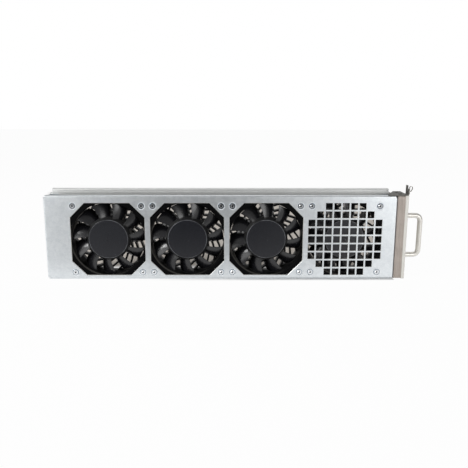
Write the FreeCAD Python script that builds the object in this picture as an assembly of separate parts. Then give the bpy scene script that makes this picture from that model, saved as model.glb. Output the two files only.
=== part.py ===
import FreeCAD, Part
import math
import os

V = FreeCAD.Vector

# Fan tray for a rack enclosure, in millimetres
# X runs along the tray from the connector end to the handle end
# Y runs through the fans from the front wall to the rear, and Z is up
# The origin of the finished part is the middle of the underside of its overall box

# Fans
fan_count = 4
fan_size = 119.5
fan_depth = 38.0
fan_pitch = 122.4
fan_hole_spacing = 105.0
fan_hole_radius = 2.15
fan_corner_radius = 6.0
fan_flange = 4.5
bore_radius = 57.2
barrel_wall = 2.3
mouth_radius = 1.8

# Impeller
blade_count = 11
tip_clearance = 1.2
hub_radius = 34.0
hub_face = 1.0
hub_rear = 27.0
hub_wall = 3.0
hub_shoulder_width = 3.8
hub_shoulder_depth = 6.0
hub_face_edge = 0.4
hub_inner_bend = 2.2
hub_dimple_radius = 2.6
hub_dimple_depth = 0.5
blade_root_thickness = 1.9
blade_tip_thickness = 1.3
blade_edge_thickness = 0.7
blade_camber = 0.13
blade_root_inset = 2.6
blade_over_tip = 2.0
rotor_angles = [18.6, 17.3, 0.0, 8.0]

# Blade edges at the root, half way and at the tip: angle round the hub, and depth behind the face
blade_lead_angles = [-5.0, -8.5, -14.0]
blade_trail_angles = [21.5, 16.5, 9.0]
blade_lead_depths = [3.6, 4.4, 6.0]
blade_trail_depths = [24.6, 23.6, 21.0]

# Motor
yoke_wall = 1.6
yoke_rear = 26.0
yoke_boss_radius = 5.5
yoke_boss_rear = 9.0
magnet_thickness = 3.0
magnet_front = 8.0
magnet_rear = 25.0
air_gap = 0.6
shaft_radius = 2.5
shaft_end = 33.0
shaft_fit = 0.04
bearing_radius = 6.5
bearing_width = 4.0
front_bearing = 10.0
rear_bearing = 26.0
clip_gap = 0.3
clip_thickness = 0.6
clip_radius = 4.0
clip_groove_radius = 2.0
clip_slot = 2.8
tube_radius = 8.5
tube_front = 9.6
tube_shoulder = 1.0
tube_recess = 1.0
tube_fit = 0.05
pole_count = 6
core_front = 13.0
core_rear = 23.0
core_ring = 4.0
pole_width = 5.0
pole_shoe = 2.4
pole_gap_angle = 9.0
winding_width = 11.0
winding_overhang = 2.0
winding_clearance = 0.6
motor_board_gap = 3.0
motor_board_front = 29.0
motor_board_thickness = 1.6

# Rear guard with the motor base
guard_front = 28.5
guard_ring_wall = 1.3
guard_fit = 0.1
vane_count = 20
vane_thickness = 2.8
vane_angle = 37.0
base_radius = 33.0
base_wall = 2.4
base_floor = 3.0
ledge_inset = 1.0
ledge_width = 2.0

# Tray sheet metal
sheet = 1.5
bend = 2.4
tray_height = 132.0
inner_margin = 43.8
outer_margin = 26.3
fan_hole_height = 11.0
top_return = 8.0
corner_relief = 3.0
rear_gap = 0.5
end_tab = 13.0
octagon_size = 114.0
octagon_leg = 22.5
opening_corner = 0.8
opening_edge = 0.5

# Grille in front of the last fan
grille_rows = [5, 7, 9, 9, 9, 9, 9, 7, 5]
grille_pitch = 13.0
grille_bar = 2.35

# Fan rivets
rivet_head_radius = 4.6
rivet_head_height = 1.1
rivet_head_edge = 0.4
rivet_boss_radius = 2.2
rivet_boss_slope = 0.4
rivet_boss_rise = 0.35
rivet_seat_radius = 5.6
rivet_seat_depth = 0.5
rivet_seat_gap = 0.1
rivet_shank_radius = 2.0
rivet_bulb_radius = 3.0
rivet_bulb_length = 3.5
rivet_bulb_edge = 1.5
mandrel_hole_radius = 1.0
mandrel_hole_depth = 0.9

# Small rivets
small_head_radius = 2.6
small_head_height = 0.9
small_head_edge = 0.6
small_shank_radius = 1.6
small_hole_radius = 1.65
small_tail_radius = 2.2
small_tail_length = 1.2

# Guide rail on the rear panel
rail_rise = 5.2
rail_leg = 20.0
rail_flange = 8.0
rail_inner_inset = 3.0
rail_outer_inset = 3.0

# Handle end
collar_length = 12.7
collar_inset = 3.4
collar_flange = 9.0
collar_mouth_corner = 1.0
collar_rivet_inset = 5.0
gasket_thickness = 3.2
gasket_inner_gap = 0.9
gasket_corner = 2.6
faceplate_thickness = 5.0
faceplate_edge = 1.2
faceplate_round = 0.7

# Top bracket
bracket_front_overlap = 15.5
bracket_rear_setback = 3.5
bracket_lip_height = 15.0
bracket_lip_width = 15.0
bracket_step_width = 7.5
bracket_step_height = 10.5
bracket_hole_radius = 2.25
bracket_hole_inset = 4.4
bracket_hole_height = 9.0
bracket_rivet_spacing = 20.0
bracket_corner = 2.0
bracket_edge_gap = 0.5

# Spring finger on the bracket lip
finger_thickness = 0.4
finger_width = 3.0
finger_reach = 4.7
finger_top = 14.7
finger_foot_gap = 1.5
finger_curl_radius = 2.2
finger_straight = 4.6
finger_tip_in = 2.8
finger_tip_drop = 4.2

# Handle
handle_rod_radius = 3.175
handle_spacing = 63.5
handle_projection = 30.0
handle_bend = 7.0
handle_screw_radius = 2.0
handle_screw_depth = 9.0
handle_head_radius = 3.8
handle_head_height = 2.6
screw_clearance = 0.2
thread_fit = 0.03

# Connector end
board_stand = 12.5
board_thickness = 1.6
board_width = 31.0
board_height = 104.0
board_corner = 1.5
standoff_radius = 2.8
standoff_inset = 4.5
board_screw_radius = 1.4
board_screw_head = 2.7
board_screw_head_height = 1.8
board_screw_length = 6.0
connector_width = 13.0
connector_height = 62.0
connector_projection = 0.5
connector_clearance = 0.5
connector_wall = 1.6
connector_corner = 1.0
connector_recess = 7.0
connector_tongue_thickness = 2.4
connector_tongue_inset = 1.5
connector_tongue_end_gap = 3.0
header_length = 12.7
header_depth = 6.4
header_base = 3.4
header_lock = 8.2
header_wall = 1.2
header_pitch = 22.0
pin_count = 4
pin_pitch = 2.54
pin_width = 0.64
pin_reach = 9.0

# How far a cutting tool runs past the face that it leaves
past = 1.0

# Places worked out from the sizes above
tray_length = inner_margin + (fan_count - 1) * fan_pitch + fan_hole_spacing + outer_margin
body_depth = sheet + fan_depth + rear_gap
tray_depth = body_depth + sheet
fan_axis_z = fan_hole_height + fan_hole_spacing / 2
fan_axis_x = [inner_margin + fan_hole_spacing / 2 + i * fan_pitch for i in range(fan_count)]
yoke_radius = hub_radius - hub_wall
yoke_front = hub_face + hub_wall
magnet_radius = yoke_radius - yoke_wall
core_radius = magnet_radius - magnet_thickness - air_gap
clip_front = rear_bearing + bearing_width + clip_gap
motor_board_radius = base_radius - base_wall - motor_board_gap
ledge_radius = motor_board_radius - ledge_inset
board_rear = motor_board_front + motor_board_thickness
base_floor_front = fan_depth - base_floor
tube_rear = base_floor_front + tube_recess
guard_seat_radius = bore_radius + guard_ring_wall + guard_fit
faceplate_back = tray_length + collar_length
faceplate_face = faceplate_back + faceplate_thickness
bracket_top = tray_height + sheet
rail_rear = tray_depth + rail_flange
board_x = sheet + board_stand
mid_z = tray_height / 2

left_reach = -connector_projection
right_reach = faceplate_face + handle_projection
front_reach = rivet_seat_depth - rivet_head_height
origin = V((left_reach + right_reach) / 2, (front_reach + rail_rear) / 2, 0)


# Shared shapes
def box(x0, x1, y0, y1, z0, z1):
    return Part.makeBox(x1 - x0, y1 - y0, z1 - z0, V(x0, y0, z0))


def rod_y(radius, y0, y1, x=0.0, z=0.0):
    return Part.makeCylinder(radius, y1 - y0, V(x, y0, z), V(0, 1, 0))


def rod_x(radius, x0, x1, y, z):
    return Part.makeCylinder(radius, x1 - x0, V(x0, y, z), V(1, 0, 0))


def rod_z(radius, z0, z1, x, y):
    return Part.makeCylinder(radius, z1 - z0, V(x, y, z0), V(0, 0, 1))


def on_xz(y):
    return lambda a, b: V(a, y, b)


def on_yz(x):
    return lambda a, b: V(x, a, b)


def on_xy(z):
    return lambda a, b: V(a, b, z)


def rounded_face(corners, place):
    # Each corner is (a, b, radius); a radius of zero leaves it sharp
    edges = []
    first = None
    last = None
    count = len(corners)
    for i, (a, b, radius) in enumerate(corners):
        here = place(a, b)
        if radius > 0:
            before = place(*corners[i - 1][:2])
            after = place(*corners[(i + 1) % count][:2])
            u = (before - here).normalize()
            w = (after - here).normalize()
            half = u.getAngle(w) / 2
            start = here + u * (radius / math.tan(half))
            end = here + w * (radius / math.tan(half))
            middle = here + (u + w).normalize() * (radius / math.sin(half) - radius)
        else:
            start = here
            end = here
        if last is None:
            first = start
        elif last.distanceToPoint(start) > 1e-6:
            edges.append(Part.makeLine(last, start))
        if radius > 0:
            edges.append(Part.Arc(start, middle, end).toShape())
        last = end
    if last.distanceToPoint(first) > 1e-6:
        edges.append(Part.makeLine(last, first))
    return Part.Face(Part.Wire(edges))


def rectangle(a0, a1, b0, b1, radius):
    return [(a0, b0, radius), (a1, b0, radius), (a1, b1, radius), (a0, b1, radius)]


def revolve_y(points):
    # Points are (radius, y), once round the section, with a rounding radius where a corner has one
    corners = [point if len(point) == 3 else (*point, 0) for point in points]
    return rounded_face(corners, on_xy(0)).revolve(V(0, 0, 0), V(0, 1, 0), 360)


def moved(shape, x, y, z):
    copy = shape.copy()
    copy.translate(V(x, y, z))
    return copy


def turned(shape, angle):
    # Clockwise as seen from the front
    copy = shape.copy()
    copy.rotate(V(0, 0, 0), V(0, 1, 0), angle)
    return copy


def at_fan(shape, index):
    return moved(shape, fan_axis_x[index], sheet, fan_axis_z)


def fixing_points(x, z):
    half = fan_hole_spacing / 2
    return [(x + i * half, z + k * half) for i in (-1, 1) for k in (-1, 1)]


# Tray sheet metal
def octagon_face(x, y, grow):
    half = octagon_size / 2 + grow
    inner = half - octagon_leg - grow * (2 - math.sqrt(2))
    ring = [(-inner, -half), (inner, -half), (half, -inner), (half, inner),
            (inner, half), (-inner, half), (-half, inner), (-half, -inner)]
    corners = [(x + a, fan_axis_z + b, opening_corner) for a, b in ring]
    return rounded_face(corners, on_xz(y))


def octagon_cut(x, y0, y1):
    return octagon_face(x, y0, 0).extrude(V(0, y1 - y0, 0))


def rolled_edge_cut(x):
    # The front edge of an opening rolls in, as a narrow bevel
    wide = octagon_face(x, -opening_edge, 2 * opening_edge).OuterWire
    narrow = octagon_face(x, opening_edge, 0).OuterWire
    return Part.makeLoft([wide, narrow], True, True)


def rivet_seat_cut():
    return revolve_y([(0, -past), (rivet_seat_radius, -past), (rivet_seat_radius, 0),
                      (rivet_head_radius + rivet_seat_gap, rivet_seat_depth),
                      (0, rivet_seat_depth)])


def grille_cuts(x, y0, y1):
    half = (grille_pitch - grille_bar) / 2
    cuts = []
    for row, cells in enumerate(grille_rows):
        z = fan_axis_z + ((len(grille_rows) - 1) / 2 - row) * grille_pitch
        for cell in range(cells):
            c = x + (cell - (cells - 1) / 2) * grille_pitch
            cuts.append(box(c - half, c + half, y0, y1, z - half, z + half))
    return cuts


def tray_body():
    inner_bend = bend - sheet
    channel = [(0, 0, bend), (0, tray_height, bend), (top_return, tray_height, 0),
               (top_return, tray_height - sheet, 0), (sheet, tray_height - sheet, inner_bend),
               (sheet, sheet, inner_bend), (body_depth, sheet, 0), (body_depth, 0, 0)]
    body = rounded_face(channel, on_yz(bend)).extrude(V(tray_length - 2 * bend, 0, 0))
    end_wall = [(0, 0, bend), (bend, 0, 0), (bend, sheet, 0), (sheet, sheet, inner_bend),
                (sheet, body_depth - sheet, inner_bend), (end_tab, body_depth - sheet, 0),
                (end_tab, body_depth, 0), (0, body_depth, bend)]
    wall = rounded_face(end_wall, on_xy(corner_relief))
    wall = wall.extrude(V(0, 0, tray_height - 2 * corner_relief))
    far_wall = wall.mirror(V(tray_length / 2, 0, 0), V(1, 0, 0))
    cuts = []
    for x in fan_axis_x[:-1]:
        cuts.append(octagon_cut(x, -past, sheet + past))
        cuts.append(rolled_edge_cut(x))
    cuts += grille_cuts(fan_axis_x[-1], -past, sheet + past)
    seat = rivet_seat_cut()
    for x in fan_axis_x:
        for px, pz in fixing_points(x, fan_axis_z):
            cuts.append(moved(seat, px, 0, pz))
            cuts.append(rod_y(fan_hole_radius, -past, sheet + past, px, pz))
    cuts.append(connector_cut())
    for x, z in rear_rivet_places():
        cuts.append(rod_y(small_hole_radius, body_depth - sheet - past, body_depth + past, x, z))
    for y, z in collar_rivet_places():
        cuts.append(rod_x(small_hole_radius, tray_length - sheet - past, tray_length + past, y, z))
    for y, z in board_fixing_places():
        cuts.append(rod_x(board_screw_radius, -past, sheet + past, y, z))
    return body.fuse([wall, far_wall]).removeSplitter().cut(cuts)


def connector_cut():
    y = body_depth / 2
    grow = connector_clearance
    ring = rectangle(y - connector_width / 2 - grow, y + connector_width / 2 + grow,
                     fan_axis_z - connector_height / 2 - grow,
                     fan_axis_z + connector_height / 2 + grow, connector_corner + grow)
    return rounded_face(ring, on_yz(-past)).extrude(V(sheet + 2 * past, 0, 0))


def rear_rivet_places():
    places = []
    for x in (end_tab / 2 + sheet / 2, tray_length - end_tab / 2 - sheet / 2):
        for z in (mid_z - tray_height / 3, mid_z, mid_z + tray_height / 3):
            places.append((x, z))
    return places


def rear_panel():
    panel = rounded_face(rectangle(0, tray_length, 0, tray_height, bend), on_xz(body_depth))
    panel = panel.extrude(V(0, sheet, 0))
    cuts = [octagon_cut(x, body_depth - past, tray_depth + past) for x in fan_axis_x]
    for x, z in rear_rivet_places():
        cuts.append(rod_y(small_hole_radius, body_depth - past, tray_depth + past, x, z))
    return panel.cut(cuts)


def guide_rail():
    top = tray_height + rail_rise
    bottom = tray_height - (rail_leg - rail_rise)
    profile = [(tray_depth, bottom, 0), (tray_depth, top, bend), (rail_rear, top, 0),
               (rail_rear, top - sheet, 0), (tray_depth + sheet, top - sheet, bend - sheet),
               (tray_depth + sheet, bottom, 0)]
    length = tray_length - rail_inner_inset - rail_outer_inset
    return rounded_face(profile, on_yz(rail_inner_inset)).extrude(V(length, 0, 0))


# Rivets
def fan_rivet():
    # The head's underside lies at y = 0
    grip = sheet - rivet_seat_depth + fan_flange
    tail = grip + rivet_bulb_length
    rim = rivet_boss_rise - rivet_head_height
    section = [(mandrel_hole_radius, mandrel_hole_depth - rivet_head_height),
               (mandrel_hole_radius, -rivet_head_height),
               (rivet_boss_radius, -rivet_head_height), (rivet_boss_radius + rivet_boss_slope, rim),
               (rivet_head_radius, rim, rivet_head_edge),
               (rivet_head_radius, 0), (rivet_shank_radius, 0), (rivet_shank_radius, grip),
               (rivet_bulb_radius, grip), (rivet_bulb_radius, tail, rivet_bulb_edge), (0, tail),
               (0, mandrel_hole_depth - rivet_head_height)]
    return revolve_y(section)


def fan_rivets():
    rivet = fan_rivet()
    solids = []
    for x in fan_axis_x:
        for px, pz in fixing_points(x, fan_axis_z):
            solids.append(moved(rivet, px, rivet_seat_depth, pz))
    return Part.makeCompound(solids)


def small_rivet(grip):
    # The head stands towards negative Y, the tail closes behind the grip
    section = [(0, -small_head_height),
               (small_head_radius, -small_head_height, small_head_edge),
               (small_head_radius, 0), (small_shank_radius, 0), (small_shank_radius, grip),
               (small_tail_radius, grip), (small_tail_radius, grip + small_tail_length),
               (0, grip + small_tail_length)]
    return revolve_y(section)


def rear_panel_rivets():
    rivet = small_rivet(2 * sheet)
    rivet.rotate(V(0, 0, 0), V(1, 0, 0), 180)
    return [moved(rivet, x, tray_depth, z) for x, z in rear_rivet_places()]


# Handle end
def collar_rivet_places():
    y_mid = tray_depth / 2
    y_off = tray_depth / 2 - collar_inset - sheet - collar_rivet_inset
    z_off = mid_z - collar_inset - sheet - collar_rivet_inset
    return [(y_mid + i * y_off, mid_z + k * z_off) for i in (-1, 1) for k in (-1, 0, 1)]


def handle_places():
    half = handle_spacing / 2
    return [(tray_depth / 2, mid_z - half), (tray_depth / 2, mid_z + half)]


def end_collar():
    outer = rectangle(collar_inset, tray_depth - collar_inset,
                      collar_inset, tray_height - collar_inset, bend)
    inset = collar_inset + sheet
    inner = rectangle(inset, tray_depth - inset, inset, tray_height - inset, bend - sheet)
    inset = collar_inset + sheet + collar_flange
    mouth = rectangle(inset, tray_depth - inset, inset, tray_height - inset, collar_mouth_corner)
    collar = rounded_face(outer, on_yz(tray_length)).extrude(V(collar_length, 0, 0))
    hollow = rounded_face(inner, on_yz(tray_length + sheet))
    hollow = hollow.extrude(V(collar_length - 2 * sheet, 0, 0))
    window = rounded_face(mouth, on_yz(tray_length - past)).extrude(V(sheet + 2 * past, 0, 0))
    cuts = [hollow, window]
    for y, z in collar_rivet_places():
        cuts.append(rod_x(small_hole_radius, tray_length - past, tray_length + sheet + past, y, z))
    for y, z in handle_places():
        hole = handle_screw_radius + screw_clearance
        cuts.append(rod_x(hole, faceplate_back - sheet - past, faceplate_back + past, y, z))
    for x, y in bracket_rivet_places():
        top = tray_height - collar_inset
        cuts.append(rod_z(small_hole_radius, top - sheet - past, top + past, x, y))
    return collar.cut(cuts)


def collar_rivets():
    rivet = small_rivet(2 * sheet)
    rivet.rotate(V(0, 0, 0), V(0, 0, 1), -90)
    start = tray_length - sheet
    return [moved(rivet, start, y, z) for y, z in collar_rivet_places()]


def sheet_rivets():
    # Alike rivets with the same grip: six in the rear panel and six in the collar
    return Part.makeCompound(rear_panel_rivets() + collar_rivets())


def emi_gasket():
    front = tray_length + gasket_inner_gap
    outset = collar_inset - gasket_thickness
    outer = rectangle(outset, tray_depth - outset, outset, tray_height - outset, gasket_corner)
    inner = rectangle(collar_inset, tray_depth - collar_inset,
                      collar_inset, tray_height - collar_inset, bend)
    ring = rounded_face(outer, on_yz(front)).extrude(V(faceplate_back - front, 0, 0))
    hole = rounded_face(inner, on_yz(front - past)).extrude(V(faceplate_back - front + 2 * past, 0, 0))
    cuts = [hole]
    for x, y in bracket_rivet_places():
        top = tray_height
        cuts.append(rod_z(small_shank_radius, top - collar_inset - past, top + past, x, y))
    return ring.cut(cuts)


def faceplate():
    plate = rounded_face(rectangle(0, tray_depth, 0, tray_height, faceplate_edge),
                         on_yz(faceplate_back)).extrude(V(faceplate_thickness, 0, 0))
    rim = [e for e in plate.Edges if min(v.X for v in e.Vertexes) > faceplate_face - 0.01]
    plate = plate.makeFillet(faceplate_round, rim)
    cuts = []
    for y, z in handle_places():
        hole = handle_screw_radius + screw_clearance
        cuts.append(rod_x(hole, faceplate_back - past, faceplate_face + past, y, z))
    return plate.cut(cuts)


def bracket_rivet_places():
    x = tray_length + collar_length / 2
    half = bracket_rivet_spacing / 2
    return [(x, tray_depth / 2 - half), (x, tray_depth / 2 + half)]


def top_bracket():
    # The plate narrows towards the rear, and the lip steps down towards the front
    inner_bend = bend - sheet
    lip_top = tray_height + bracket_lip_height
    front = bracket_edge_gap
    rear = tray_depth - bracket_edge_gap
    right = faceplate_face - bend
    plate_ring = [(tray_length - bracket_front_overlap, front, bracket_corner), (right, front, 0),
                  (right, rear, 0), (tray_length + bracket_rear_setback, rear, bracket_corner)]
    plate = rounded_face(plate_ring, on_xy(tray_height)).extrude(V(0, 0, sheet))
    start = faceplate_face - 2 * bend
    lip = [(start, tray_height, 0), (faceplate_face, tray_height, bend),
           (faceplate_face, lip_top, 0), (faceplate_face - sheet, lip_top, 0),
           (faceplate_face - sheet, bracket_top, inner_bend), (start, bracket_top, 0)]
    leg = rounded_face(lip, on_xz(front)).extrude(V(0, bracket_lip_width, 0))
    hole_y = front + bracket_lip_width - bracket_hole_inset
    hole_z = tray_height + bracket_hole_height
    lip_back = faceplate_face - sheet - past
    lip_front = faceplate_face + past
    cuts = [rod_x(bracket_hole_radius, lip_back, lip_front, hole_y, hole_z),
            box(lip_back, lip_front, front - past, front + bracket_step_width,
                tray_height + bracket_step_height, lip_top + past)]
    for x, y in bracket_rivet_places():
        cuts.append(rod_z(small_hole_radius, tray_height - past, bracket_top + past, x, y))
    return plate.fuse(leg).removeSplitter().cut(cuts)


def bracket_rivets():
    rivet = small_rivet(collar_inset + 2 * sheet)
    rivet.rotate(V(0, 0, 0), V(1, 0, 0), -90)
    return Part.makeCompound([moved(rivet, x, y, bracket_top) for x, y in bracket_rivet_places()])


def emi_finger():
    # A leaf spring that lies on the lip, curls over at the top and comes down again outside
    t = finger_thickness
    inner = faceplate_face
    outer = faceplate_face + finger_reach
    top = tray_height + finger_top
    foot = bracket_top + finger_foot_gap
    slope = V(-finger_tip_in, 0, -finger_tip_drop).normalize()
    side = V(slope.z, 0, -slope.x)
    knee = V(outer, 0, top - finger_straight)
    tip = knee + V(-finger_tip_in, 0, -finger_tip_drop)
    back = tip + side * t
    climb = (outer - t - back.x) / -slope.x
    inner_knee = back - slope * climb
    turn = finger_curl_radius
    path = [(inner, foot, 0), (inner, top, turn), (outer, top, turn),
            (knee.x, knee.z, turn), (tip.x, tip.z, 0), (back.x, back.z, 0),
            (inner_knee.x, inner_knee.z, turn - t), (outer - t, top - t, turn - t),
            (inner + t, top - t, turn - t), (inner + t, foot, 0)]
    return rounded_face(path, on_xz(bracket_edge_gap)).extrude(V(0, finger_width, 0))


def handle():
    y = tray_depth / 2
    low, high = handle_places()[0][1], handle_places()[1][1]
    reach = right_reach - handle_rod_radius
    turn = handle_bend
    dip = turn * (1 - math.sqrt(0.5))
    foot_low = V(faceplate_face, y, low)
    foot_high = V(faceplate_face, y, high)
    low_in = V(reach - turn, y, low)
    low_out = V(reach, y, low + turn)
    high_out = V(reach, y, high - turn)
    high_in = V(reach - turn, y, high)
    path = Part.Wire([
        Part.makeLine(foot_low, low_in),
        Part.Arc(low_in, V(reach - dip, y, low + dip), low_out).toShape(),
        Part.makeLine(low_out, high_out),
        Part.Arc(high_out, V(reach - dip, y, high - dip), high_in).toShape(),
        Part.makeLine(high_in, foot_high)])
    section = Part.Wire(Part.makeCircle(handle_rod_radius, foot_low, V(1, 0, 0)))
    bow = path.makePipeShell([section], True, True)
    radius = handle_screw_radius + thread_fit
    depth = handle_screw_depth + past
    cuts = [rod_x(radius, faceplate_face - past, faceplate_face + depth, y, z)
            for y, z in handle_places()]
    return bow.cut(cuts)


def handle_screws():
    solids = []
    seat = faceplate_back - sheet
    for y, z in handle_places():
        head = rod_x(handle_head_radius, seat - handle_head_height, seat, y, z)
        shank = rod_x(handle_screw_radius, seat - handle_head_height / 2,
                      faceplate_face + handle_screw_depth, y, z)
        solids.append(head.fuse(shank).removeSplitter())
    return Part.makeCompound(solids)


# Connector end
def board_fixing_places():
    y_off = board_width / 2 - standoff_inset
    z_off = board_height / 2 - standoff_inset
    return [(body_depth / 2 + i * y_off, fan_axis_z + k * z_off)
            for i in (-1, 1) for k in (-1, 1)]


def distribution_board():
    ring = rectangle(body_depth / 2 - board_width / 2, body_depth / 2 + board_width / 2,
                     fan_axis_z - board_height / 2, fan_axis_z + board_height / 2, board_corner)
    board = rounded_face(ring, on_yz(board_x)).extrude(V(board_thickness, 0, 0))
    hole = board_screw_radius + screw_clearance
    return board.cut([rod_x(hole, board_x - past, board_x + board_thickness + past, y, z)
                      for y, z in board_fixing_places()])


def board_standoffs():
    solids = []
    for y, z in board_fixing_places():
        post = rod_x(standoff_radius, sheet, board_x, y, z)
        bore = board_screw_radius + thread_fit
        depth = board_screw_length - board_thickness + past
        solids.append(post.cut(rod_x(bore, board_x - depth, board_x + past, y, z)))
    return Part.makeCompound(solids)


def board_screws():
    solids = []
    seat = board_x + board_thickness
    for y, z in board_fixing_places():
        head = rod_x(board_screw_head, seat, seat + board_screw_head_height, y, z)
        shank = rod_x(board_screw_radius, seat - board_screw_length,
                      seat + board_screw_head_height / 2, y, z)
        solids.append(head.fuse(shank).removeSplitter())
    return Part.makeCompound(solids)


def power_connector():
    y = body_depth / 2
    ring = rectangle(y - connector_width / 2, y + connector_width / 2,
                     fan_axis_z - connector_height / 2, fan_axis_z + connector_height / 2,
                     connector_corner)
    shell = rounded_face(ring, on_yz(-connector_projection))
    shell = shell.extrude(V(connector_projection + board_x, 0, 0))
    inner = connector_width / 2 - connector_wall
    half = connector_height / 2 - connector_wall
    floor = connector_recess - connector_projection
    recess = box(-connector_projection - past, floor, y - inner, y + inner,
                 fan_axis_z - half, fan_axis_z + half)
    tongue_half = half - connector_tongue_end_gap
    tongue = box(connector_tongue_inset - connector_projection, floor + connector_wall,
                 y - connector_tongue_thickness / 2, y + connector_tongue_thickness / 2,
                 fan_axis_z - tongue_half, fan_axis_z + tongue_half)
    return shell.cut(recess).fuse(tongue).removeSplitter()


def fan_headers():
    # Friction-lock pin headers, one for each fan lead
    x0 = board_x + board_thickness
    y = body_depth / 2
    half = header_length / 2
    solids = []
    for i in range(fan_count):
        z = fan_axis_z + (i - (fan_count - 1) / 2) * header_pitch
        base = box(x0, x0 + header_base, y - header_depth / 2, y + header_depth / 2,
                   z - half, z + half)
        lock = box(x0, x0 + header_lock, y + header_depth / 2 - header_wall,
                   y + header_depth / 2, z - half + header_wall, z + half - header_wall)
        pins = []
        for k in range(pin_count):
            pz = z + (k - (pin_count - 1) / 2) * pin_pitch
            pins.append(box(x0 + header_base / 2, x0 + pin_reach, y - header_wall - pin_width / 2,
                            y - header_wall + pin_width / 2,
                            pz - pin_width / 2, pz + pin_width / 2))
        solids.append(base.fuse([lock] + pins).removeSplitter())
    return Part.makeCompound(solids)


# One fan, with its front face at y = 0 and its axis along Y
def fan_flange_plate(y0):
    half = fan_size / 2
    ring = rectangle(-half, half, -half, half, fan_corner_radius)
    plate = rounded_face(ring, on_xz(y0)).extrude(V(0, fan_flange, 0))
    return plate.cut([rod_y(fan_hole_radius, y0 - past, y0 + fan_flange + past, x, z)
                      for x, z in fixing_points(0, 0)])


def guard_vane():
    # A thin wall along an arc that keeps a steady angle to the radius, from base to barrel
    inner = base_radius - base_wall / 2
    outer = bore_radius + guard_ring_wall / 2
    sweep = math.log(outer / inner) / math.tan(math.radians(vane_angle))

    def spot(share, side):
        radius = inner * (outer / inner) ** share
        turn = sweep * share
        lean = turn + math.pi / 2 - math.radians(vane_angle)
        along = V(math.sin(lean), 0, math.cos(lean))
        normal = V(along.z, 0, -along.x)
        return V(radius * math.sin(turn), guard_front, radius * math.cos(turn)) + normal * side

    t = vane_thickness / 2
    side_a = Part.Arc(spot(0, t), spot(0.5, t), spot(1, t)).toShape()
    side_b = Part.Arc(spot(1, -t), spot(0.5, -t), spot(0, -t)).toShape()
    end_a = Part.makeLine(spot(1, t), spot(1, -t))
    end_b = Part.makeLine(spot(0, -t), spot(0, t))
    face = Part.Face(Part.Wire([side_a, end_a, side_b, end_b]))
    return face.extrude(V(0, fan_depth - guard_front, 0))


def motor_base():
    # A shallow cup with a ledge for the motor board and a recess for the bearing tube
    tube_hole = tube_radius + tube_fit
    return revolve_y([(0, fan_depth), (base_radius, fan_depth), (base_radius, guard_front),
                      (base_radius - base_wall, guard_front),
                      (base_radius - base_wall, base_floor_front),
                      (ledge_radius, base_floor_front), (ledge_radius, board_rear),
                      (ledge_radius - ledge_width, board_rear),
                      (ledge_radius - ledge_width, base_floor_front),
                      (tube_hole, base_floor_front), (tube_hole, tube_rear), (0, tube_rear)])


def fan_guard():
    # The ring seats in the rear of the frame, and spiral vanes carry the motor base
    outer = bore_radius + guard_ring_wall
    ring = revolve_y([(bore_radius, guard_front), (outer, guard_front), (outer, fan_depth),
                      (bore_radius, fan_depth)])
    vane = guard_vane()
    vanes = [turned(vane, 360 / vane_count * i) for i in range(vane_count)]
    guard = ring.fuse(vanes + [motor_base()])
    return guard.common(rod_y(outer, guard_front, fan_depth)).removeSplitter()


def fan_frame():
    # Two square flanges joined by a round barrel
    half = fan_size / 2
    outer = bore_radius + barrel_wall
    barrel = revolve_y([(bore_radius, mouth_radius), (bore_radius + mouth_radius, 0),
                        (outer, 0), (outer, fan_depth), (guard_seat_radius, fan_depth),
                        (guard_seat_radius, guard_front), (bore_radius, guard_front)])
    clear = revolve_y([(0, -past), (bore_radius + mouth_radius, -past), (bore_radius + mouth_radius, 0),
                       (bore_radius, mouth_radius), (bore_radius, guard_front),
                       (guard_seat_radius, guard_front),
                       (guard_seat_radius, fan_depth + past), (0, fan_depth + past)])
    flanges = [fan_flange_plate(0).cut(clear), fan_flange_plate(fan_depth - fan_flange).cut(clear)]
    barrel = barrel.common(box(-half, half, 0, fan_depth, -half, half))
    return barrel.fuse(flanges).removeSplitter()


def blade_section(radius, lead, trail, y_lead, y_trail, thickness):
    # A flat section across the blade, from its leading edge to its trailing edge
    a = V(radius * math.tan(math.radians(lead)), y_lead, radius)
    b = V(radius * math.tan(math.radians(trail)), y_trail, radius)
    chord = b - a
    normal = V(chord.y, -chord.x, 0).normalize()
    crown = (a + b) * 0.5 + normal * (blade_camber * chord.Length)
    edge = normal * (blade_edge_thickness / 2)
    skin = normal * (thickness / 2)

    def curve(points):
        spline = Part.BSplineCurve()
        spline.interpolate(points)
        return spline.toShape()

    return Part.Wire([curve([a + edge, crown + skin, b + edge]), Part.makeLine(b + edge, b - edge),
                      curve([b - edge, crown - skin, a - edge]), Part.makeLine(a - edge, a + edge)])


def blade():
    tip = bore_radius - tip_clearance
    radii = [hub_radius - blade_root_inset, (hub_radius + tip) / 2, tip + blade_over_tip]
    middle = (blade_root_thickness + blade_tip_thickness) / 2
    thicknesses = [blade_root_thickness, middle, blade_tip_thickness]
    sections = []
    for i, radius in enumerate(radii):
        sections.append(blade_section(radius, blade_lead_angles[i], blade_trail_angles[i],
                                      blade_lead_depths[i], blade_trail_depths[i],
                                      thicknesses[i]))
    solid = Part.makeLoft(sections, True, False)
    return solid.common(rod_y(tip, 0, fan_depth))


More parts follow.
